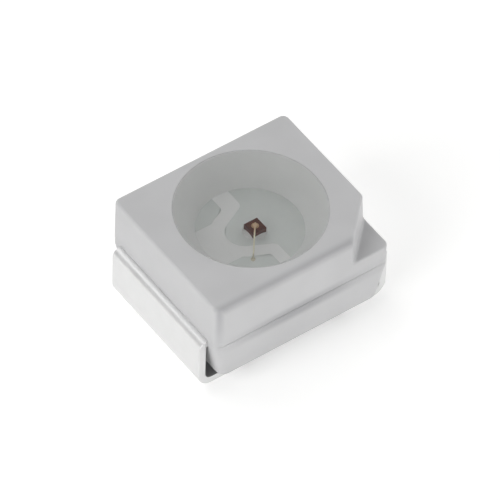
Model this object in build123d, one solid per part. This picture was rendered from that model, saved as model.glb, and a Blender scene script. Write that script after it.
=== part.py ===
from build123d import *
import math
import os

# A light-emitting diode in a white two-lead package for surface mounting.
# Two flat metal leads cross a moulded housing and fold down and under it.
# A cone-shaped cup in the housing's top holds the chip and is filled with clear resin.
# Sizes are in millimetres. The origin is the middle of the footprint on the board,
# +X points to the cathode, whose corner is cut, and +Z points up.

# Housing
body_width = 2.8
body_height = 1.85
parting_height = 1.01
underside_height = 0.175
end_lean_above = 0.01
side_lean_above = 0.03
end_lean_below = 0.17
side_lean_below = 0.06
corner_radius = 0.15
top_corner_radius = 0.11
bottom_corner_radius = 0.16
upper_edge_radius = 0.085
lip_radius = 0.075
bottom_edge_radius = 0.15

# Cut corner at the cathode
cut_leg = 0.755
ledge_leg = 0.715
ledge_height = 1.36
ledge_fillet = 0.08

# Cup, which stands a little off the middle
cup_x = 0.03
cup_y = 0.06
cup_rim_radius = 1.18
cup_floor_radius = 0.85
rim_edge_radius = 0.025

# Leads
overall_length = 3.5
lead_width = 2.3
strip_thickness = 0.125
strip_clearance = 0.015
shoulder_bend_radius = 0.02
foot_bend_radius = 0.13
foot_length = 0.8
toe_radius = 0.03

# Outline of the leads in the floor of the cup
pad_edge = 0.2
strip_gap = 0.22
nose_centre_x = -0.08
nose_centre_y = 0.065
nose_radius = 0.3
nose_root_width = 0.94
nose_root_fillet = 0.12
upper_finger_end = -0.1
lower_finger_end = 0.0
fork_root = -1.05
finger_corner_radius = 0.1
anchor_notch_radius = 0.13
anchor_notch_depth_in_wall = 0.25

# Pedestal and gate mark under the housing
pedestal_clearance = 0.03
pedestal_toe_gap = 0.15
pedestal_side_inset = 0.2
pedestal_corner_radius = 0.1
gate_dimple_radius = 0.3
gate_dimple_depth = 0.06
gate_stub_radius = 0.12
gate_stub_height = 0.03

# Chip, its adhesive and its contact
die_x = 0.07
die_y = -0.01
die_side = 0.28
die_thickness = 0.2
mesa_inset = 0.015
mesa_height = 0.012
adhesive_thickness = 0.015
adhesive_radius = 0.2
adhesive_rise = 0.06
pad_radius = 0.055
pad_thickness = 0.006

# Bond wire
wire_diameter = 0.03
ball_radius = 0.042
ball_height = 0.03
stitch_x = -0.3
stitch_y = -0.48
stitch_length = 0.09
stitch_width = 0.07
stitch_height = 0.012
loop_rise = 0.13
loop_reach_share = 0.45
loop_drop = 0.035
loop_bend_radius = 0.05

# Resin
resin_edge_gap = 0.02
resin_sag = 0.035

# Places that follow from the sizes above
body_length = overall_length - 2 * (strip_thickness + strip_clearance)
strip_underside = parting_height - strip_thickness
foot_tip = overall_length / 2 - foot_length
floor_to_rim = body_height - parting_height
adhesive_top = parting_height + adhesive_thickness
die_top = adhesive_top + die_thickness
pad_top = die_top + pad_thickness
REACH = body_length + body_width + body_height


def edges_at(solid, height):
    """The edges that lie flat at a height."""
    slack = lip_radius / 100
    return solid.edges().filter_by_position(Axis.Z, height - slack, height + slack)


def runs_along(edge, direction):
    """Whether an edge is a straight one along a direction."""
    straight = edge.geom_type == GeomType.LINE
    return straight and edge.tangent_at(0.5).cross(direction).length < strip_thickness


def outline(height, end_inset, side_inset, radius):
    """The housing's round-cornered outline at a height, in by so much at each end and side."""
    return Pos(0, 0, height) * RectangleRounded(
        body_length - 2 * end_inset, body_width - 2 * side_inset, radius
    )


def cut_corner(block):
    """The block with its cathode corner cut away at a slant, down to a ledge, and its edges rounded."""
    foot = Vector(body_length / 2, -body_width / 2, ledge_height)
    foot += Vector(-1, 1, 0) * (ledge_leg / 2)
    across = Plane(foot, x_dir=(1, -1, 0), z_dir=(-1, -1, 0))
    rise = body_height - ledge_height
    lean = (cut_leg - ledge_leg) / math.sqrt(2)
    section = make_face(
        Polyline((0, 0), (REACH, 0), (REACH, 2 * rise), (-2 * lean, 2 * rise), close=True)
    )
    section = fillet(section.vertices().sort_by_distance((0, 0, 0))[0], ledge_fillet)
    block -= extrude(across * section, REACH, both=True)
    rim = [
        edge
        for edge in block.edges()
        if ledge_height - lip_radius < edge.center().Z < body_height - lip_radius
        and (edge.center() - foot).dot(across.x_dir) > -ledge_leg / 2
        and not runs_along(edge, across.z_dir)
    ]
    return fillet(rim + edges_at(block, body_height), upper_edge_radius)


def upper_block():
    """The housing above the parting plane, leaning in towards the top, with its cut corner."""
    low = outline(parting_height, 0, 0, corner_radius)
    high = outline(body_height, end_lean_above, side_lean_above, top_corner_radius)
    block = loft([low, high], ruled=True)
    return cut_corner(fillet(edges_at(block, parting_height), lip_radius))


def lower_block():
    """The housing below the parting plane, leaning in towards the board, with a round upper lip."""
    low = outline(underside_height, end_lean_below, side_lean_below, bottom_corner_radius)
    high = outline(parting_height, 0, 0, corner_radius)
    block = loft([low, high], ruled=True)
    block = fillet(edges_at(block, parting_height), lip_radius)
    return fillet(edges_at(block, underside_height), bottom_edge_radius)


def build_housing(leads):
    """The moulded housing with its cup, shaped round the two leads."""
    housing = upper_block() + lower_block()
    pedestal = Box(
        2 * (foot_tip - pedestal_toe_gap),
        body_width - 2 * (side_lean_below + pedestal_side_inset),
        underside_height - pedestal_clearance + strip_thickness,
        align=(Align.CENTER, Align.CENTER, Align.MIN),
    )
    pedestal = fillet(pedestal.edges().filter_by(Axis.Z), pedestal_corner_radius)
    housing += Pos(0, 0, pedestal_clearance) * pedestal
    dimple = Cylinder(gate_dimple_radius, gate_dimple_depth, align=(Align.CENTER, Align.CENTER, Align.MIN))
    stub = Cylinder(gate_stub_radius, gate_stub_height, align=(Align.CENTER, Align.CENTER, Align.MAX))
    housing -= Pos(0, 0, pedestal_clearance) * dimple
    housing += Pos(0, 0, pedestal_clearance + gate_dimple_depth) * stub
    cup = Cone(
        cup_floor_radius,
        cup_rim_radius,
        floor_to_rim,
        align=(Align.CENTER, Align.CENTER, Align.MIN),
    )
    housing -= Pos(cup_x, cup_y, parting_height) * cup
    rim = [
        edge
        for edge in edges_at(housing, body_height)
        if edge.geom_type == GeomType.CIRCLE and edge.radius > cup_floor_radius
    ]
    housing = fillet(rim, rim_edge_radius)
    for lead in leads:
        housing -= lead
    return housing


def bent_strip(side):
    """The part of a lead outside the housing, bent down and folded under, in one strip."""
    outer = overall_length / 2
    inner = body_length / 2 - corner_radius
    section = make_face(
        Polyline(
            (inner, parting_height),
            (outer, parting_height),
            (outer, 0),
            (foot_tip, 0),
            (foot_tip, strip_thickness),
            (outer - strip_thickness, strip_thickness),
            (outer - strip_thickness, strip_underside),
            (inner, strip_underside),
            close=True,
        )
    )

    def corner(x, z):
        return section.vertices().sort_by_distance((x, z, 0))[0]

    rounds = (
        (outer, parting_height, shoulder_bend_radius + strip_thickness),
        (outer - strip_thickness, strip_underside, shoulder_bend_radius),
        (outer, 0, foot_bend_radius + strip_thickness),
        (outer - strip_thickness, strip_thickness, foot_bend_radius),
        (foot_tip, 0, toe_radius),
    )
    for x, z, radius in rounds:
        section = fillet(corner(x, z), radius)
    strip = extrude(Plane.XZ * section, lead_width / 2, both=True)
    return strip if side > 0 else mirror(strip, Plane.YZ)


def nose(extra):
    """The tongue that reaches under the chip, with a round end, grown by extra all round."""
    tip = Pos(nose_centre_x, nose_centre_y) * Circle(nose_radius + extra)
    root = Pos(pad_edge + nose_root_fillet, nose_centre_y) * Rectangle(
        2 * nose_root_fillet, nose_root_width + 2 * extra
    )
    return make_hull(tip.edges() + root.edges())


def anchored(plate, side):
    """A lead's plate with the two edge notches that the plastic grips."""
    notch_x = side * (body_length / 2 - anchor_notch_depth_in_wall)
    for end in (-1, 1):
        plate -= Pos(notch_x, end * lead_width / 2) * Circle(anchor_notch_radius)
    return plate


def cathode_plate():
    """The flat outline of the cathode inside the housing, with the chip's tongue."""
    reach = body_length / 2
    plate = Pos((pad_edge + reach) / 2, 0) * Rectangle(reach - pad_edge, lead_width)
    plate = anchored(plate, 1) + nose(0)
    roots = [
        corner
        for corner in plate.vertices()
        if abs(corner.X - pad_edge) < strip_thickness and abs(corner.Y) < lead_width / 2 - strip_gap
    ]
    return fillet(roots, nose_root_fillet)


def anode_plate():
    """The flat outline of the anode inside the housing, forked round the chip's tongue."""
    reach = body_length / 2
    plate = Rectangle(2 * reach, lead_width)
    plate = anchored(plate, -1)
    past = Rectangle(REACH, lead_width)
    split = nose_centre_y
    above = Pos(upper_finger_end + REACH / 2, split + lead_width / 2) * past
    below = Pos(lower_finger_end + REACH / 2, split - lead_width / 2) * past
    slot_width = 2 * (nose_radius + strip_gap) - strip_gap
    slot = Pos((fork_root + nose_centre_x) / 2, nose_centre_y) * Rectangle(
        nose_centre_x - fork_root, slot_width
    )
    plate = plate - above - below - slot - nose(strip_gap)
    tips = [
        corner
        for corner in plate.vertices()
        if corner.X > fork_root + strip_gap and abs(corner.Y) < lead_width / 2 - strip_gap
    ]
    return fillet(tips, finger_corner_radius)


def build_lead(plate, side):
    """One lead: its flat plate in the housing and the bent strip outside, of one thickness."""
    flat = extrude(Pos(0, 0, strip_underside) * plate, strip_thickness)
    return flat + bent_strip(side)


def build_die():
    """The chip, a sawn block with a slightly smaller etched top."""
    block = Box(die_side, die_side, die_thickness - mesa_height, align=(Align.CENTER, Align.CENTER, Align.MIN))
    mesa_side = die_side - 2 * mesa_inset
    mesa = Box(mesa_side, mesa_side, mesa_height, align=(Align.CENTER, Align.CENTER, Align.MIN))
    return Pos(die_x, die_y, adhesive_top) * (block + Pos(0, 0, die_thickness - mesa_height) * mesa)


def build_adhesive(die):
    """The cured adhesive, squeezed out round the chip's foot in a low sloping collar."""
    half = die_side / 2
    with BuildPart() as blob:
        with BuildSketch(Plane.XZ):
            with BuildLine():
                Line((0, 0), (adhesive_radius, 0))
                RadiusArc((adhesive_radius, 0), (half, adhesive_rise), -adhesive_radius)
                Line((half, adhesive_rise), (0, adhesive_rise))
                Line((0, adhesive_rise), (0, 0))
            make_face()
        revolve(axis=Axis.Z)
    return Pos(die_x, die_y, parting_height) * blob.part - die


def build_pad():
    """The round contact on the chip."""
    disc = Cylinder(pad_radius, pad_thickness, align=(Align.CENTER, Align.CENTER, Align.MIN))
    return Pos(die_x, die_y, die_top) * disc


def build_wire():
    """The bond wire: a flattened ball on the contact, a loop, and a stitch on the anode."""
    ball_middle = Vector(die_x, die_y, pad_top + ball_height / 2)
    ball = Sphere(ball_radius) & Box(2 * ball_radius, 2 * ball_radius, ball_height)
    stitch_middle = Vector(stitch_x, stitch_y, parting_height)
    run = Vector(stitch_x - die_x, stitch_y - die_y, 0)
    peak = ball_middle + Vector(0, 0, loop_rise)
    knee = ball_middle + run * loop_reach_share + Vector(0, 0, loop_rise - loop_drop)
    past_stitch = stitch_middle + (stitch_middle - knee).normalized() * wire_diameter
    path = FilletPolyline(ball_middle, peak, knee, past_stitch, radius=loop_bend_radius)
    loop = sweep(Plane(ball_middle) * Circle(wire_diameter / 2), path=path)
    below = Pos(stitch_middle) * Box(
        REACH, REACH, REACH, align=(Align.CENTER, Align.CENTER, Align.MAX)
    )
    stitch = extrude(Ellipse(stitch_length / 2, stitch_width / 2), stitch_height)
    turned = Plane(stitch_middle, x_dir=run, z_dir=(0, 0, 1))
    return Pos(ball_middle) * ball + (loop - below) + turned * stitch


def build_resin(inside):
    """The clear resin that fills the cup, a little low, with a shallow round hollow in its top."""
    fill = Cone(
        cup_floor_radius,
        cup_rim_radius,
        floor_to_rim,
        align=(Align.CENTER, Align.CENTER, Align.MIN),
    )
    edge_height = body_height - resin_edge_gap
    lean = (cup_rim_radius - cup_floor_radius) / floor_to_rim
    edge_radius = cup_rim_radius - lean * resin_edge_gap
    hollow_radius = (edge_radius**2 + resin_sag**2) / (2 * resin_sag)
    hollow = Pos(cup_x, cup_y, edge_height - resin_sag + hollow_radius) * Sphere(hollow_radius)
    return Pos(cup_x, cup_y, parting_height) * fill - hollow - inside


def build_all():
    """Every piece by its name."""
    cathode = build_lead(cathode_plate(), 1)
    anode = build_lead(anode_plate(), -1)
    die = build_die()
    adhesive = build_adhesive(die)
    pad = build_pad()
    wire = build_wire()
    return {
        "housing": build_housing((cathode, anode)),
        "cathode_lead": cathode,
        "anode_lead": anode,
        "die_attach": adhesive,
        "die": die,
        "die_bond_pad": pad,
        "bond_wire": wire,
        "encapsulant": build_resin(adhesive + die + pad + wire),
    }


os.makedirs("parts", exist_ok=True)
for name, piece in build_all().items():
    export_step(piece, f"parts/{name}.step")
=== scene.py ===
import math

import bmesh
import bpy
from mathutils import Matrix, Vector


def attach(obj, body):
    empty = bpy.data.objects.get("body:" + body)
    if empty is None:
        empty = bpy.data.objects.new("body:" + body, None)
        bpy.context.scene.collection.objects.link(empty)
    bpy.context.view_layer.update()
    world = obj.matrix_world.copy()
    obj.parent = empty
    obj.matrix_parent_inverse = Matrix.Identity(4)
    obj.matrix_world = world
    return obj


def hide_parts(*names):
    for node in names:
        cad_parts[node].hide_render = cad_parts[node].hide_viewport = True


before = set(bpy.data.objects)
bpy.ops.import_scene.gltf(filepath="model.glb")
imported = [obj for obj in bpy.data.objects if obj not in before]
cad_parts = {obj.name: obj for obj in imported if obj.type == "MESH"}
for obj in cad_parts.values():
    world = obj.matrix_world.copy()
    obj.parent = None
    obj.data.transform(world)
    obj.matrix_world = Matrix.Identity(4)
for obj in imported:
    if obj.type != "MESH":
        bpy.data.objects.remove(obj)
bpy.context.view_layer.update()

# Housing. One white moulded body of glass-filled polyamide, shot round the two leads:
# an upper and a lower half that lean away from the parting plane, a cut corner that
# marks the cathode, a cone-shaped cup, and a low pedestal with the gate mark under it.
MM = 0.001  # sizes are in millimetres, and finish_piece brings each piece to metres
hair, merge_gap = 1e-4, 1e-3
body_length, body_width, body_height = 3.22, 2.8, 1.85
parting_height, underside_height = 1.01, 0.175
end_lean, side_lean, lower_end_lean, lower_side_lean = 0.01, 0.03, 0.145, 0.06
corner_radius, top_corner_radius, bottom_corner_radius = 0.15, 0.11, 0.16
corner_segments = 8
corner_step = math.pi / 2 / corner_segments
top_edge_radius, ledge_edge_radius, bottom_edge_radius = 0.05, 0.03, 0.15
lip_radius, lip_wall_inset, lip_fill_at_sides, lip_more_fill_at_ends = 0.075, 0.003, 0.6, 0.3
cut_leg, ledge_leg, ledge_height, ledge_fillet = 0.755, 0.715, 1.36, 0.05
cup_x, cup_y = 0.03, 0.06
cup_rim_radius, cup_floor_radius, rim_edge_radius = 1.18, 0.85, 0.025
floor_below_strip = 0.003
sharpest_smooth_angle = math.radians(32)


def shift(bm, x, y, z):
    """Moves a whole mesh."""
    bmesh.ops.translate(bm, vec=(x, y, z), verts=bm.verts)


def box(length, width, low, high):
    """A box round the vertical axis, from one height to another."""
    bm = bmesh.new()
    bmesh.ops.create_cube(bm, size=1)
    bmesh.ops.scale(bm, vec=(length, width, high - low), verts=bm.verts)
    shift(bm, 0, 0, (low + high) / 2)
    return bm


def only_verts(geometry):
    """The vertices among what an operator gives back."""
    return [g for g in geometry if isinstance(g, bmesh.types.BMVert)]


def edges_between(geometry, verts):
    """The edges among what an operator gives back that join some of its vertices."""
    edges = [g for g in geometry if isinstance(g, bmesh.types.BMEdge)]
    return [e for e in edges if all(v in verts for v in e.verts)]


def flat_edges(bm, height):
    """The edges that lie flat at a height."""
    return [e for e in bm.edges if all(abs(v.co.z - height) < hair for v in e.verts)]


def upright_edges(bm):
    """The edges that climb from one height to another."""
    return [e for e in bm.edges if abs(e.verts[0].co.z - e.verts[1].co.z) > 0.1]


def turned_edges(bm, edges, angle):
    """The edges whose two faces turn by more than an angle."""
    bm.normal_update()
    return [e for e in edges if e.calc_face_angle(0) > angle]


def round_over(bm, edges, radius, segments):
    """Rounds edges with a profile of one radius."""
    bmesh.ops.bevel(
        bm,
        geom=list(edges),
        offset=radius,
        offset_type="OFFSET",
        segments=segments,
        profile=0.5,
        affect="EDGES",
        clamp_overlap=False,
        material=-1,
    )


def leaning_block(low, high, low_inset, high_inset, low_corner, high_corner):
    """A closed block with leaning walls, and upright corners whose radius changes on the way up."""
    bm = box(body_length, body_width, low, high)
    for height, (end_in, side_in) in ((low, low_inset), (high, high_inset)):
        ring = [v for v in bm.verts if abs(v.co.z - height) < hair]
        shrink = (1 - 2 * end_in / body_length, 1 - 2 * side_in / body_width, 1)
        bmesh.ops.scale(bm, vec=shrink, verts=ring)
    sharp = [v.co.copy() for v in bm.verts]
    largest = max(low_corner, high_corner)
    round_over(bm, upright_edges(bm), largest, corner_segments)
    for corner in sharp:
        wanted = low_corner if corner.z < (low + high) / 2 else high_corner
        near = [v for v in bm.verts if (v.co - corner).length < 1.5 * largest]
        bmesh.ops.scale(
            bm,
            vec=(wanted / largest, wanted / largest, 1),
            space=Matrix.Translation(-corner),
            verts=near,
        )
    return bm


def soften_lip(bm):
    """Rounds and opens the edge at the parting plane, flatter at the ends that the strip fills."""
    round_over(bm, flat_edges(bm, parting_height), lip_radius, 6)
    inside = [f for f in bm.faces if all(abs(v.co.z - parting_height) < hair for v in f.verts)]
    bmesh.ops.delete(bm, geom=inside, context="FACES_ONLY")
    for v in bm.verts:
        if abs(v.co.z - parting_height) > lip_radius + hair:
            continue
        core = v.co.xy
        for i, size in enumerate((body_length, body_width)):
            limit = size / 2 - corner_radius
            if abs(core[i]) > limit - 0.01:
                core[i] = math.copysign(limit, core[i])
        reach = v.co.xy - core
        depth = corner_radius - reach.length
        if abs(v.co.z - parting_height) < hair:
            depth = lip_radius
            angle = round(math.atan2(reach.y, reach.x) / corner_step) * corner_step
            reach = Vector((math.cos(angle), math.sin(angle)))
        share = lip_fill_at_sides + lip_more_fill_at_ends * abs(reach.x) / reach.length
        filled = share * (depth - lip_wall_inset)
        v.co.xy = core + reach.normalized() * (corner_radius - depth + filled)


def open_ring(bm, centre, radius, segments):
    """Puts a round hole in the largest face at its centre's height, and gives back its edges."""
    level = [f for f in bm.faces if all(abs(v.co.z - centre.z) < hair for v in f.verts)]
    face = max(level, key=lambda f: f.calc_area())
    outer = list(face.edges)
    bmesh.ops.delete(bm, geom=[face], context="FACES_ONLY")
    circle = bmesh.ops.create_circle(
        bm, cap_ends=False, radius=radius, segments=segments, matrix=Matrix.Translation(centre)
    )["verts"]
    inner = list({e for v in circle for e in v.link_edges})
    bmesh.ops.triangle_fill(bm, use_beauty=True, edges=outer + inner)
    return inner


def draw_in(bm, edges, centre, rise, factor):
    """Extrudes a ring of edges by a rise, scales it about its centre, and gives it back."""
    made = bmesh.ops.extrude_edge_only(bm, edges=edges)["geom"]
    verts = only_verts(made)
    bmesh.ops.translate(bm, vec=(0, 0, rise), verts=verts)
    space = Matrix.Translation(-centre)
    bmesh.ops.scale(bm, vec=(factor, factor, 1), space=space, verts=verts)
    return edges_between(made, verts)


upper = leaning_block(
    parting_height, body_height, (0, 0), (end_lean, side_lean), corner_radius, top_corner_radius
)

# The cut corner: everything outward of a slanted plane and above the ledge comes off.
ledge_corner = Vector((body_length / 2, -body_width / 2, ledge_height))
foot = ledge_corner + Vector((-1, 1, 0)) * ledge_leg / 2
lean = math.atan2((cut_leg - ledge_leg) / math.sqrt(2), body_height - ledge_height)
level_part = math.cos(lean) / math.sqrt(2)
outward = Vector((level_part, -level_part, math.sin(lean)))
everything = upper.verts[:] + upper.edges[:] + upper.faces[:]
bmesh.ops.bisect_plane(upper, geom=everything, plane_co=foot, plane_no=(0, 0, 1))
above = [f for f in upper.faces if f.calc_center_median().z > ledge_height + hair]
above += list({e for f in above for e in f.edges}) + list({v for f in above for v in f.verts})
bmesh.ops.bisect_plane(upper, geom=above, plane_co=foot, plane_no=outward)
cut_off = [
    f
    for f in upper.faces
    if f.calc_center_median().z > ledge_height + hair
    and (f.calc_center_median() - foot).dot(outward) > hair
]
bmesh.ops.delete(upper, geom=cut_off, context="FACES")
on_cut = [
    v
    for v in upper.verts
    if abs((v.co - foot).dot(outward)) < hair and v.co.z > ledge_height - hair
]
feet = sorted((v for v in on_cut if v.co.z < ledge_height + hair), key=lambda v: v.co.x)
tops = sorted((v for v in on_cut if v.co.z > body_height - hair), key=lambda v: v.co.x)
foot_edge = upper.edges.new((feet[0], feet[-1]))
bmesh.ops.contextual_create(upper, geom=[feet[0], feet[-1], tops[-1], tops[0]])
ledge_rim = [e for e in flat_edges(upper, ledge_height) if e.is_boundary]
bmesh.ops.edgeloop_fill(upper, edges=ledge_rim)
bmesh.ops.recalc_face_normals(upper, faces=upper.faces)
round_over(upper, [foot_edge], ledge_fillet, 5)
cut_rim = [
    e
    for e in turned_edges(upper, upper.edges, sharpest_smooth_angle)
    if ledge_height - 0.01 < min(v.co.z for v in e.verts) < body_height - 0.01
]
round_over(upper, cut_rim, ledge_edge_radius, 6)
top_rim = turned_edges(upper, flat_edges(upper, body_height), sharpest_smooth_angle)
round_over(upper, top_rim, top_edge_radius, 8)
soften_lip(upper)

# The cup, whose faces get the second plastic look.
cup_mouth = Vector((cup_x, cup_y, body_height))
cup_depth = body_height - parting_height + floor_below_strip
cup_edge = open_ring(upper, cup_mouth, cup_rim_radius, 160)
wall_end = draw_in(upper, cup_edge, cup_mouth, -cup_depth, cup_floor_radius / cup_rim_radius)
bmesh.ops.edgeloop_fill(upper, edges=wall_end)
round_over(upper, cup_edge, rim_edge_radius, 4)
for face in upper.faces:
    middle = face.calc_center_median()
    in_plan = (middle.xy - cup_mouth.xy).length < cup_rim_radius + 0.001
    if in_plan and middle.z < body_height - 0.001:
        face.material_index = 1

lower = leaning_block(
    underside_height,
    parting_height,
    (lower_end_lean, lower_side_lean),
    (0, 0),
    bottom_corner_radius,
    corner_radius,
)
soften_lip(lower)
round_over(lower, flat_edges(lower, underside_height), bottom_edge_radius, 8)

# The pedestal carries the housing's weight on the board's glue and holds the gate mark.
pedestal_length, pedestal_width, pedestal_corner_radius = 1.6, 2.28, 0.1
pedestal_clearance, pedestal_top = 0.03, 0.33
dimple_radius, dimple_depth, stub_radius, stub_height = 0.3, 0.06, 0.12, 0.03
pedestal = box(pedestal_length, pedestal_width, pedestal_clearance, pedestal_top)
round_over(pedestal, upright_edges(pedestal), pedestal_corner_radius, 6)
gate = Vector((0, 0, pedestal_clearance))
mark = open_ring(pedestal, gate, dimple_radius, 48)
mark = draw_in(pedestal, mark, gate, dimple_depth, 1)
mark = draw_in(pedestal, mark, gate, 0, stub_radius / dimple_radius)
mark = draw_in(pedestal, mark, gate, -stub_height, 1)
bmesh.ops.edgeloop_fill(pedestal, edges=mark)


def finish_piece(name, parts, materials, stands_for):
    """The modifier that lets the larger faces set the shading finds no area in faces this
    small once they are in metres, so it is applied while the mesh is in millimetres.
    """
    whole = bmesh.new()
    for part in parts:
        bmesh.ops.recalc_face_normals(part, faces=part.faces)
        loose = bpy.data.meshes.new("loose")
        part.to_mesh(loose)
        whole.from_mesh(loose)
        bpy.data.meshes.remove(loose)
        part.free()
    bmesh.ops.remove_doubles(whole, verts=whole.verts, dist=merge_gap)
    mesh = bpy.data.meshes.new(name + "_in_mm")
    whole.to_mesh(mesh)
    whole.free()
    mesh.shade_smooth()
    mesh.set_sharp_from_angle(angle=math.radians(35))
    for material in materials:
        mesh.materials.append(material)
    piece = bpy.data.objects.new(name, mesh)
    bpy.context.scene.collection.objects.link(piece)
    even = piece.modifiers.new("even_shading", "WEIGHTED_NORMAL")
    even.keep_sharp = True
    even.weight = 100
    graph = bpy.context.evaluated_depsgraph_get()
    finished = bpy.data.meshes.new_from_object(piece.evaluated_get(graph), depsgraph=graph)
    piece.modifiers.clear()
    piece.data = finished
    finished.name = name
    finished.transform(Matrix.Scale(MM, 4))
    bpy.data.meshes.remove(mesh)
    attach(piece, "root")
    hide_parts(*stands_for)
    return piece


def linear(code):
    """An sRGB hex colour as linear RGBA."""
    parts = [int(code[i : i + 2], 16) / 255 for i in (1, 3, 5)]
    return [c / 12.92 if c <= 0.04045 else ((c + 0.055) / 1.055) ** 2.4 for c in parts] + [1]


def new_material(name):
    """A material and its empty tree."""
    made = bpy.data.materials.new(name)
    made.use_nodes = True
    made.node_tree.nodes.clear()
    return made, made.node_tree


def add(tree, kind, inputs=(), **settings):
    """Adds a node with its settings, and sets or links its inputs, by name or in order.

    A node among the inputs stands for its first output.
    """
    made = tree.nodes.new("ShaderNode" + kind)
    for name, value in settings.items():
        setattr(made, name, value)
    for name, value in inputs.items() if isinstance(inputs, dict) else enumerate(inputs):
        if isinstance(value, bpy.types.Node):
            value = value.outputs[0]
        if isinstance(value, bpy.types.NodeSocket):
            tree.links.new(value, made.inputs[name])
        else:
            made.inputs[name].default_value = value
    return made


# White glass-filled polyamide. The outside comes from a spark-eroded mould: matt, with a fine
# grain about 0.03 mm across. Painted shade darkens it in a soft grey band along the parting
# groove, strongest along the middle of the front, and along the front top edge; it is also
# painted darker down the near corner, more so towards the top. The cup comes from a polished
# pin, so it is smoother; its colour is painted much lighter, as painted light against the
# shade in the cup. A trace of light enters both.
# A MapRange takes the value, the range that it is carried from, and the one it is carried to.
eased = {"interpolation_type": "SMOOTHSTEP"}
groove_shade_height = parting_height - 0.015
top_edge = Vector((0, side_lean - body_width / 2, body_height))
near_corner = Vector((-1.553, -1.362, 0))
plastics = []
for name, dark, light, matt_from, matt_to, grain_height, groove_shade_strength in (
    ("white_polyamide_spark_eroded", "#C5C5C6", "#CACACB", 0.46, 0.58, 0.35, 0.58),
    # The cup's copy is written much lighter than the outside's: painted light that lifts the shade
    # in the cup.
    ("white_polyamide_polished_painted_lighter", "#F5F6F5", "#F9FAF9", 0.30, 0.40, 0.10, 0.0),
):
    polyamide, tree = new_material(name)
    place = add(tree, "TexCoord").outputs["Object"]
    grain = add(
        tree,
        "TexNoise",
        {"Vector": place, "Scale": 1 / (0.03 * MM), "Detail": 3, "Roughness": 0.6},
    )
    cloud = add(
        tree,
        "TexNoise",
        {"Vector": place, "Scale": 1 / (0.9 * MM), "Detail": 2, "Roughness": 0.5},
    )
    colour = add(tree, "ValToRGB", {"Fac": cloud})
    for stop, position, code in zip(colour.color_ramp.elements, (0.35, 0.65), (dark, light)):
        stop.position, stop.color = position, linear(code)
    # Painted shade along the parting groove and the front top edge, and a darker near corner.
    if groove_shade_strength:
        axes = add(tree, "SeparateXYZ", {"Vector": place}).outputs
        drop = add(tree, "Math", (axes["Z"], groove_shade_height * MM), operation="SUBTRACT")
        drop = add(tree, "Math", (drop,), operation="ABSOLUTE")
        # Painted shade of the parting groove, in a band about its height.
        groove_shade = add(tree, "MapRange", (drop, 0.05 * MM, 0.2 * MM, groove_shade_strength, 0.0), **eased)
        # The groove's painted shade fades out towards both ends of the front.
        uneven = add(tree, "Math", (cloud, 0.6 * MM, axes["X"]), operation="MULTIPLY_ADD")
        fade_in_along_front = add(tree, "MapRange", (uneven, -1.2 * MM, 0.1 * MM, 0.1, 1.0), **eased)
        fade_out_along_front = add(tree, "MapRange", (uneven, 0.4 * MM, 1.8 * MM, 1.0, 0.2), **eased)
        groove_shade_along_front = add(tree, "Math", (fade_in_along_front, fade_out_along_front), operation="MULTIPLY")
        groove_shade = add(tree, "Math", (groove_shade, groove_shade_along_front), operation="MULTIPLY")
        # Painted shade along the front top edge.
        beside = add(tree, "VectorMath", (place, (0, 1, 1)), operation="MULTIPLY")
        beside = add(tree, "VectorMath", (beside, top_edge * MM), operation="DISTANCE")
        off_edge = beside.outputs["Value"]
        top_edge_shade = add(tree, "MapRange", (off_edge, 0.02 * MM, 0.16 * MM, 0.4, 0.0), **eased)
        # Painted darker down the near corner, more towards the top.
        around = add(tree, "VectorMath", (place, (1, 1, 0)), operation="MULTIPLY")
        around = add(tree, "VectorMath", (around, near_corner * MM), operation="DISTANCE")
        off_corner = around.outputs["Value"]
        corner_darkening = add(tree, "MapRange", (off_corner, 0.0, 0.11 * MM, 1.0, 0.0), **eased)
        fading = add(tree, "MapRange", (axes["Z"], 0.9 * MM, body_height * MM, 0.1, 0.55))
        corner_darkening = add(tree, "Math", (corner_darkening, fading), operation="MULTIPLY")
        painted_shade_and_corner_darkening = add(tree, "Math", (groove_shade, top_edge_shade), operation="MAXIMUM")
        painted_shade_and_corner_darkening = add(tree, "Math", (painted_shade_and_corner_darkening, corner_darkening), operation="MAXIMUM")
        # The painted shade and the darker corner mix the colour towards grey.
        layers = {0: painted_shade_and_corner_darkening, 6: colour, 7: linear("#8C8C90")}
        colour = add(tree, "Mix", layers, data_type="RGBA").outputs[2]
    surface = add(
        tree,
        "BsdfPrincipled",
        {
            "Base Color": colour,
            "Roughness": add(tree, "MapRange", (grain, 0.3, 0.7, matt_from, matt_to)),
            "Normal": add(
                tree,
                "Bump",
                {"Height": grain, "Strength": grain_height, "Distance": 0.002 * MM},
            ),
            "IOR": 1.5,
            "Specular IOR Level": 0.4,
            "Subsurface Weight": 0.12,
            "Subsurface Radius": (1.0, 1.0, 1.0),
            "Subsurface Scale": 0.06 * MM,
        },
    )
    add(tree, "OutputMaterial", {"Surface": surface})
    plastics.append(polyamide)
finish_piece("moulded_housing", [upper, lower, pedestal], plastics, ["housing"])

# Leads. Copper strip, stamped to its outline, silver plated, moulded in flat at the parting
# plane, then folded down the housing's ends and under it to make the feet. It droops a
# little before the fold, which makes the bright ridge along its shoulder.
overall_length, lead_width, strip_thickness = 3.5, 2.3, 0.125
outer_shoulder_radius, inner_shoulder_radius = 0.09, 0.02
foot_radius, foot_length, stamped_edge_radius = 0.255, 0.8, 0.008
seam, bend_start, shoulder_droop = 1.5, 1.595, 0.045

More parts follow.
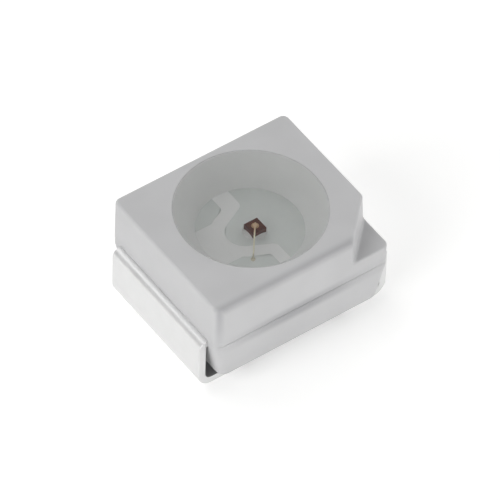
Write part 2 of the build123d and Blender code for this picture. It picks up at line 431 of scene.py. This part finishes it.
# Matt electroplated silver over rolled strip: a satin metal, a little uneven in its gloss,
# with faint lines along the strip from rolling. The lines are drawn coarser than real ones.
# In the cup, where only a matt strike of silver carries the chip, it is softer.
line_stretch = 0.12
platings = []
for name, dark, light, gloss_from, gloss_to in (
    ("silver_plate_on_rolled_copper", "#DEDEDE", "#E3E3E3", 0.38, 0.43),
    ("silver_plate_matt_under_resin", "#E1E5E3", "#E9ECEA", 0.60, 0.72),
):
    silver, tree = new_material(name)
    place = add(tree, "TexCoord").outputs["Object"]
    drawn_out = add(tree, "Mapping", {"Vector": place, "Scale": (line_stretch, 1, 1)})
    lines = add(
        tree,
        "TexNoise",
        {"Vector": drawn_out, "Scale": 1 / (0.02 * MM), "Detail": 3, "Roughness": 0.6},
    )
    stain = add(
        tree,
        "TexNoise",
        {"Vector": place, "Scale": 1 / (0.35 * MM), "Detail": 4, "Roughness": 0.6},
    )
    colour = add(tree, "ValToRGB", {"Fac": stain})
    for stop, position, code in zip(colour.color_ramp.elements, (0.3, 0.7), (dark, light)):
        stop.position, stop.color = position, linear(code)
    surface = add(
        tree,
        "BsdfPrincipled",
        {
            "Base Color": colour,
            "Metallic": 1.0,
            "Roughness": add(tree, "MapRange", (stain, 0.3, 0.7, gloss_from, gloss_to)),
            "Normal": add(
                tree, "Bump", {"Height": lines, "Strength": 0.3, "Distance": 0.0015 * MM}
            ),
        },
    )
    add(tree, "OutputMaterial", {"Surface": surface})
    platings.append(silver)

# The plates in the cup keep the solid's stamped outline, and the folds are made anew.
for node, side in (("cathode_lead", 1), ("anode_lead", -1)):
    flat = bmesh.new()
    flat.from_mesh(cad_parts[node].data)
    bmesh.ops.scale(flat, vec=(1 / MM, 1 / MM, 1 / MM), verts=flat.verts)
    bmesh.ops.remove_doubles(flat, verts=flat.verts, dist=0.0005)
    bmesh.ops.bisect_plane(
        flat,
        geom=flat.verts[:] + flat.edges[:] + flat.faces[:],
        plane_co=(side * seam, 0, 0),
        plane_no=(side, 0, 0),
        clear_outer=True,
    )
    below = [v for v in flat.verts if v.co.z < parting_height - strip_thickness - 0.01]
    bmesh.ops.delete(flat, geom=below, context="VERTS")
    bmesh.ops.holes_fill(flat, edges=[e for e in flat.edges if e.is_boundary], sides=0)
    for face in flat.faces:
        face.material_index = 1
    folded = bmesh.new()
    start = [(side * seam, y * lead_width / 2, parting_height) for y in (-1, 1)]
    line = [folded.edges.new([folded.verts.new(end) for end in start])]
    outer = side * overall_length / 2
    inner = outer - side * strip_thickness
    for x, z in (
        (side * bend_start, parting_height),
        (outer, parting_height - shoulder_droop),
        (outer, 0),
        (outer - side * foot_length, 0),
    ):
        made = bmesh.ops.extrude_edge_only(folded, edges=line)["geom"]
        verts = only_verts(made)
        for v in verts:
            v.co.x, v.co.z = x, z
        line = edges_between(made, verts)
    lower_fold = [
        e for e in flat_edges(folded, 0) if all(abs(v.co.x - outer) < hair for v in e.verts)
    ]
    round_over(folded, lower_fold, foot_radius, 14)
    bmesh.ops.recalc_face_normals(folded, faces=folded.faces)
    folded.normal_update()
    lowest = min(folded.faces, key=lambda f: f.calc_center_median().z)
    if lowest.normal.z > 0:
        bmesh.ops.reverse_faces(folded, faces=folded.faces)
    bmesh.ops.solidify(folded, geom=folded.faces[:], thickness=strip_thickness)
    for x, radius in ((outer, outer_shoulder_radius), (inner, inner_shoulder_radius)):
        shoulder = [
            e
            for e in folded.edges
            if all(abs(v.co.x - x) < 2e-3 and v.co.z > parting_height / 2 for v in e.verts)
        ]
        round_over(folded, shoulder, radius, 8)
    stamped = turned_edges(folded, folded.edges, math.radians(60))
    round_over(folded, stamped, stamped_edge_radius, 2)
    finish_piece(node + "_strip", [flat, folded], platings, [node])


def turn(bm, steps):
    """Turns a half section about the vertical axis."""
    bmesh.ops.spin(
        bm,
        geom=bm.verts[:] + bm.edges[:],
        cent=(0, 0, 0),
        axis=(0, 0, 1),
        angle=math.tau,
        steps=steps,
        use_merge=True,
    )


# Die attach. Silver-filled epoxy, dispensed as a dot and squeezed out into a low collar
# when the chip is set down, then cured.
die_x, die_y, die_side = 0.07, -0.01, 0.25
adhesive_radius, adhesive_rise = 0.2, 0.06
collar = bmesh.new()
profile = [
    collar.verts.new((radius, 0, height))
    for radius, height in (
        (0.1, adhesive_rise - 0.004),
        (die_side / 2, adhesive_rise),
        (0.15, 0.042),
        (0.162, 0.024),
        (0.179, 0.009),
        (adhesive_radius, 0.0),
        (0.19, -0.006),
    )
]
for pair in zip(profile, profile[1:]):
    collar.edges.new(pair)
turn(collar, 64)
bmesh.ops.holes_fill(collar, edges=[e for e in collar.edges if e.is_boundary], sides=0)
shift(collar, die_x, die_y, parting_height)

# Cured silver-filled epoxy: pale grey, flakes of metal in a matt resin.
adhesive, tree = new_material("silver_filled_epoxy_cured")
place = add(tree, "TexCoord").outputs["Object"]
flake = add(
    tree,
    "TexNoise",
    {"Vector": place, "Scale": 1 / (0.012 * MM), "Detail": 2, "Roughness": 0.6},
)
colour = add(tree, "ValToRGB", {"Fac": flake})
for stop, position, code in zip(colour.color_ramp.elements, (0.35, 0.65), ("#CFCFCD", "#E3E3E1")):
    stop.position, stop.color = position, linear(code)
surface = add(
    tree,
    "BsdfPrincipled",
    {
        "Base Color": colour,
        "Metallic": 0.3,
        "Roughness": 0.5,
        "Normal": add(tree, "Bump", {"Height": flake, "Strength": 0.4, "Distance": 0.003 * MM}),
    },
)
add(tree, "OutputMaterial", {"Surface": surface})
finish_piece("adhesive_collar", [collar], [adhesive], ["die_attach"])

# Chip. A block sawn from a crystal wafer, with a slightly smaller top that was etched free
# before sawing: dark red-brown, glossy on top, duller on its sawn sides.
die_top, die_thickness, mesa_inset, mesa_height = 1.225, 0.2, 0.015, 0.012
chip = box(die_side, die_side, die_top - die_thickness, die_top - mesa_height)
shift(chip, die_x, die_y, 0)
sawn_top = max(chip.faces, key=lambda f: f.calc_center_median().z)
bmesh.ops.inset_region(chip, faces=[sawn_top], thickness=mesa_inset)
mesa = only_verts(bmesh.ops.extrude_face_region(chip, geom=[sawn_top])["geom"])
bmesh.ops.translate(chip, vec=(0, 0, mesa_height), verts=mesa)
bmesh.ops.delete(chip, geom=[sawn_top], context="FACES_ONLY")

# Compound semiconductor crystal: dark, with the fine marks of the saw on its sides.
crystal, tree = new_material("semiconductor_crystal_sawn")
place = add(tree, "TexCoord").outputs["Object"]
facing = add(tree, "NewGeometry").outputs["Normal"]
upright = add(tree, "SeparateXYZ", {"Vector": facing}).outputs["Z"]
sawn = add(
    tree,
    "TexNoise",
    {"Vector": place, "Scale": 1 / (0.02 * MM), "Detail": 3, "Roughness": 0.6},
)
colour = add(tree, "ValToRGB", {"Fac": sawn})
for stop, position, code in zip(colour.color_ramp.elements, (0.3, 0.7), ("#301008", "#6A2A14")):
    stop.position, stop.color = position, linear(code)
surface = add(
    tree,
    "BsdfPrincipled",
    {
        "Base Color": colour,
        "Roughness": add(tree, "MapRange", (upright, 0.5, 1.0, 0.5, 0.3)),
        "IOR": 1.5,
        "Specular IOR Level": 0.25,
    },
)
add(tree, "OutputMaterial", {"Surface": surface})
finish_piece("sawn_chip", [chip], [crystal], ["die"])

# Bond pad. The round gold contact on the chip's top, evaporated through a mask, on to which
# the wire's ball is pressed.
pad_radius, pad_thickness, pad_edge_radius = 0.06, 0.006, 0.002
contact = bmesh.new()
bmesh.ops.create_circle(contact, cap_ends=True, radius=pad_radius, segments=48)
pad_face = only_verts(bmesh.ops.extrude_face_region(contact, geom=contact.faces[:])["geom"])
bmesh.ops.translate(contact, vec=(0, 0, pad_thickness), verts=pad_face)
round_over(contact, flat_edges(contact, pad_thickness), pad_edge_radius, 2)
shift(contact, die_x, die_y, die_top)

# Gold, pure and soft: dull where it was evaporated on the chip. As drawn wire it is redder at
# the ball and just past it, where a spark had melted it, painted pale along the middle of the
# loop as a painted sheen of its reflections, and duller at the stitch, where it was pressed and
# torn.
golds = []
for name, torn, painted_sheen, melted, gloss_from, gloss_to in (
    ("pure_gold_evaporated", "#B89A78", "#B89A78", "#B89A78", 0.40, 0.55),
    ("pure_gold_drawn_with_painted_sheen", "#C8C2B0", "#F6F3DD", "#D8BC9C", 0.30, 0.45),
):
    gold, tree = new_material(name)
    place = add(tree, "TexCoord").outputs["Object"]
    grain = add(
        tree,
        "TexNoise",
        {"Vector": place, "Scale": 1 / (0.01 * MM), "Detail": 2, "Roughness": 0.5},
    )
    across = add(tree, "SeparateXYZ", {"Vector": place}).outputs["Y"]
    along = add(tree, "MapRange", (across, -0.5 * MM, 0.0, 0.0, 1.0))
    colour = add(tree, "ValToRGB", {"Fac": along})
    stops = colour.color_ramp.elements
    for stop, position, code in zip(stops, (0.1, 0.8), (torn, melted)):
        stop.position, stop.color = position, linear(code)
    # The pale middle stops are a painted sheen standing in for the wire's reflections.
    for position in (0.18, 0.52):
        stops.new(position).color = linear(painted_sheen)
    surface = add(
        tree,
        "BsdfPrincipled",
        {
            "Base Color": colour,
            "Metallic": 1.0,
            "Roughness": add(tree, "MapRange", (grain, 0.3, 0.7, gloss_from, gloss_to)),
        },
    )
    add(tree, "OutputMaterial", {"Surface": surface})
    golds.append(gold)
finish_piece("chip_contact", [contact], golds[:1], ["die_bond_pad"])

# Bond wire. Gold wire 0.026 mm thick: a ball squashed on to the contact by the capillary,
# a loop up and over to the anode, and a stitch where the wire was pressed flat and torn off.
wire_diameter, ball_radius, ball_height = 0.026, 0.042, 0.03
stitch_x, stitch_y, stitch_size = -0.3, -0.48, (0.09, 0.07, 0.022)
ball_middle = Vector((die_x, die_y, die_top + pad_thickness + ball_height / 2))
ball = bmesh.new()
bmesh.ops.create_uvsphere(ball, u_segments=32, v_segments=16, radius=ball_radius)
bmesh.ops.scale(ball, vec=(1, 1, ball_height / 2 / ball_radius * 1.25), verts=ball.verts)
shift(ball, *ball_middle)
stitch = bmesh.new()
bmesh.ops.create_uvsphere(stitch, u_segments=32, v_segments=12, radius=0.5)
bmesh.ops.scale(stitch, vec=stitch_size, verts=stitch.verts)
heading = Matrix.Rotation(math.atan2(stitch_y - die_y, stitch_x - die_x), 3, "Z")
bmesh.ops.rotate(stitch, cent=(0, 0, 0), matrix=heading, verts=stitch.verts)
shift(stitch, stitch_x, stitch_y, parting_height)
run = Vector((stitch_x - die_x, stitch_y - die_y, 0))
route = [
    ball_middle + run * share + Vector((0, 0, rise))
    for share, rise in ((0, 0), (0, 0.08), (0, 0.13), (0.1, 0.13), (0.45, 0.095), (0.7, -0.04))
]
route.append(Vector((stitch_x, stitch_y, parting_height + 0.006)))
curve = bpy.data.curves.new("loop", "CURVE")
curve.dimensions = "3D"
curve.bevel_depth = wire_diameter / 2
curve.bevel_resolution = 5
curve.resolution_u = 16
curve.use_fill_caps = True
spline = curve.splines.new("NURBS")
spline.points.add(len(route) - 1)
for point, at in zip(spline.points, route):
    point.co = (*at, 1)
spline.order_u = 4
spline.use_endpoint_u = True
holder = bpy.data.objects.new("loop", curve)
bpy.context.scene.collection.objects.link(holder)
bpy.context.view_layer.update()
tube = bmesh.new()
tube.from_mesh(bpy.data.meshes.new_from_object(holder))
bpy.data.objects.remove(holder)
bmesh.ops.remove_doubles(tube, verts=tube.verts, dist=1e-5)
finish_piece("ball_loop_and_stitch", [ball, tube, stitch], golds[1:], ["bond_wire"])

# Resin. Clear resin dispensed into the cup up to its rim and cured, which leaves its top
# slightly hollow. It wets the cup, the leads and the chip, so no air lies between them, and
# it is drawn a little way into the wall and the floor to keep it so.
resin_edge_height, resin_sag, into_the_wall = 1.8485, 0.035, 0.02
slope = (cup_rim_radius - cup_floor_radius) / (body_height - parting_height)
resin_edge_radius = cup_floor_radius + slope * (resin_edge_height - parting_height) + into_the_wall
hollow_radius = (resin_edge_radius**2 + resin_sag**2) / (2 * resin_sag)
hollow_depth = resin_edge_height - resin_sag
resin_floor = parting_height - 2 * floor_below_strip
fill = bmesh.new()
bmesh.ops.spin(
    fill,
    geom=[fill.verts.new((0, 0, hollow_depth))],
    cent=(0, 0, hollow_depth + hollow_radius),
    axis=(0, -1, 0),
    angle=math.asin(resin_edge_radius / hollow_radius),
    steps=12,
)
wall = [
    max(fill.verts, key=lambda v: v.co.x),
    fill.verts.new((cup_floor_radius + into_the_wall, 0, resin_floor)),
    fill.verts.new((0, 0, resin_floor)),
]
for pair in zip(wall, wall[1:]):
    fill.edges.new(pair)
turn(fill, 128)
bmesh.ops.remove_doubles(fill, verts=fill.verts, dist=hair)
shift(fill, cup_x, cup_y, 0)

# Clear cast resin: glassy, very slightly uneven where it set.
resin, tree = new_material("clear_resin_cast")
place = add(tree, "TexCoord").outputs["Object"]
swirl = add(
    tree,
    "TexNoise",
    {"Vector": place, "Scale": 1 / (0.6 * MM), "Detail": 2, "Roughness": 0.5},
)
surface = add(
    tree,
    "BsdfPrincipled",
    {
        "Base Color": linear("#FFFFFF"),
        "Transmission Weight": 1.0,
        "Roughness": 0.03,
        "IOR": 1.5,
        "Normal": add(tree, "Bump", {"Height": swirl, "Strength": 0.25, "Distance": 0.01 * MM}),
    },
)
add(tree, "OutputMaterial", {"Surface": surface})
finish_piece("resin_fill", [fill], [resin], ["encapsulant"])

# Floor. A sheet of white paper, a little mottled, that stays white to the camera and in
# reflections and keeps the object's shadow.
floor_reach, floor_lift, white = 0.25, 0.32, (1, 1, 1, 1)
paper, tree = new_material("white_paper_backdrop")
place = add(tree, "TexCoord").outputs["Object"]
path = add(tree, "LightPath").outputs
mottle = add(tree, "TexNoise", {"Vector": place, "Scale": 1 / (0.2 * MM), "Detail": 2})
colour = add(tree, "ValToRGB", {"Fac": mottle})
for stop, code in zip(colour.color_ramp.elements, ("#F8F8F7", "#FBFBFA")):
    stop.color = linear(code)
matt = add(tree, "BsdfDiffuse", {"Color": colour})
seen = add(tree, "Math", (path["Is Camera Ray"], path["Is Glossy Ray"]), operation="MAXIMUM")
seen = add(tree, "Math", (seen, path["Is Transmission Ray"]), operation="MAXIMUM")
lift = add(tree, "Math", (seen, floor_lift), operation="MULTIPLY")
glow = add(tree, "Emission", {"Color": white, "Strength": lift})
add(tree, "OutputMaterial", {"Surface": add(tree, "AddShader", (matt, glow))})
ground = bmesh.new()
bmesh.ops.create_grid(ground, x_segments=1, y_segments=1, size=floor_reach)
mesh = bpy.data.meshes.new("floor")
ground.to_mesh(mesh)
ground.free()
mesh.materials.append(paper)
floor = bpy.data.objects.new("floor", mesh)
bpy.context.scene.collection.objects.link(floor)

# Light. A tent, bright at the horizon and dimmer overhead, with two dark places: the opening
# that the lens looks in by, and the room behind it to the left. Three soft lamps stand round
# it: a window on the left, a low strip in front, and one over the back.
world = bpy.data.worlds.new("studio")
bpy.context.scene.world = world
world.use_nodes = True
tree = world.node_tree
tree.nodes.clear()
way = add(tree, "TexCoord").outputs["Generated"]
height = add(tree, "SeparateXYZ", {"Vector": way}).outputs["Z"]
tent = add(tree, "MapRange", (height, 0.1, 0.8, 1.36, 0.56))
for dark_place, edge, core, left_there in (
    ((-0.399, -0.529, 0.749), 0.62, 0.93, 0.0),
    ((-0.816, 0.54, 0.204), 0.6, 0.95, 0.4),
):
    near = add(tree, "VectorMath", (way, dark_place), operation="DOT_PRODUCT").outputs["Value"]
    shade = add(tree, "MapRange", (near, edge, core, 1.0, left_there), **eased)
    tent = add(tree, "Math", (tent, shade), operation="MULTIPLY")
to_camera = add(tree, "LightPath").outputs["Is Camera Ray"]
shown = add(tree, "Mix", {0: to_camera, 6: tent, 7: white}, data_type="RGBA").outputs[2]
sky = add(tree, "Background", {"Color": shown, "Strength": 1.0})
add(tree, "OutputWorld", {"Surface": sky})

middle = Vector((0, 0, 1.01 * MM))
lamp_distance = 0.07
for name, watts, wide, high, way in (
    ("window", 0.023, 0.05, 0.05, (-0.70, -0.10, 0.42)),
    ("low_fill", 0.0105, 0.06, 0.02, (0.0, -0.99, 0.145)),
    ("overhead", 0.0065, 0.05, 0.05, (-0.20, 0.55, 0.81)),
):
    lamp = bpy.data.lights.new(name, "AREA")
    lamp.shape = "RECTANGLE"
    lamp.size = wide
    lamp.size_y = high
    lamp.energy = watts
    panel = bpy.data.objects.new(name, lamp)
    bpy.context.scene.collection.objects.link(panel)
    panel.location = middle + Vector(way).normalized() * lamp_distance
    panel.rotation_euler = (middle - panel.location).to_track_quat("-Z", "Y").to_euler()

# Camera. It stands well back with a long lens, and is turned about its axis as the
# photograph is.
azimuth, elevation, roll = (math.radians(a) for a in (-37.018, 48.514, 2.096))
distance, shift_right, shift_up = 100, -0.003, -0.025
focal_pixels, frame_pixels, sensor_width = 6583.94, 500, 36
back = Vector(
    (
        math.sin(azimuth) * math.cos(elevation),
        -math.cos(azimuth) * math.cos(elevation),
        math.sin(elevation),
    )
)
right = Vector((math.cos(azimuth), math.sin(azimuth), 0))
stand = middle + back * distance * MM
aim = middle + (right * shift_right + back.cross(right) * shift_up) * MM
look = (stand - aim).normalized()
level = Vector((0, 0, 1)).cross(look).normalized()
overhead = look.cross(level)
across = level * math.cos(roll) + overhead * math.sin(roll)
upwards = overhead * math.cos(roll) - level * math.sin(roll)
camera_data = bpy.data.cameras.new("camera")
camera_data.sensor_width = sensor_width
camera_data.sensor_fit = "HORIZONTAL"
camera_data.lens = sensor_width * focal_pixels / frame_pixels
camera_data.clip_start = 0.001
camera_data.clip_end = 10
camera = bpy.data.objects.new("camera", camera_data)
bpy.context.scene.collection.objects.link(camera)
turned = Matrix((across, upwards, look)).transposed().to_4x4()
camera.matrix_world = Matrix.Translation(stand) @ turned
bpy.context.scene.camera = camera
bpy.context.scene.view_settings.view_transform = "Standard"
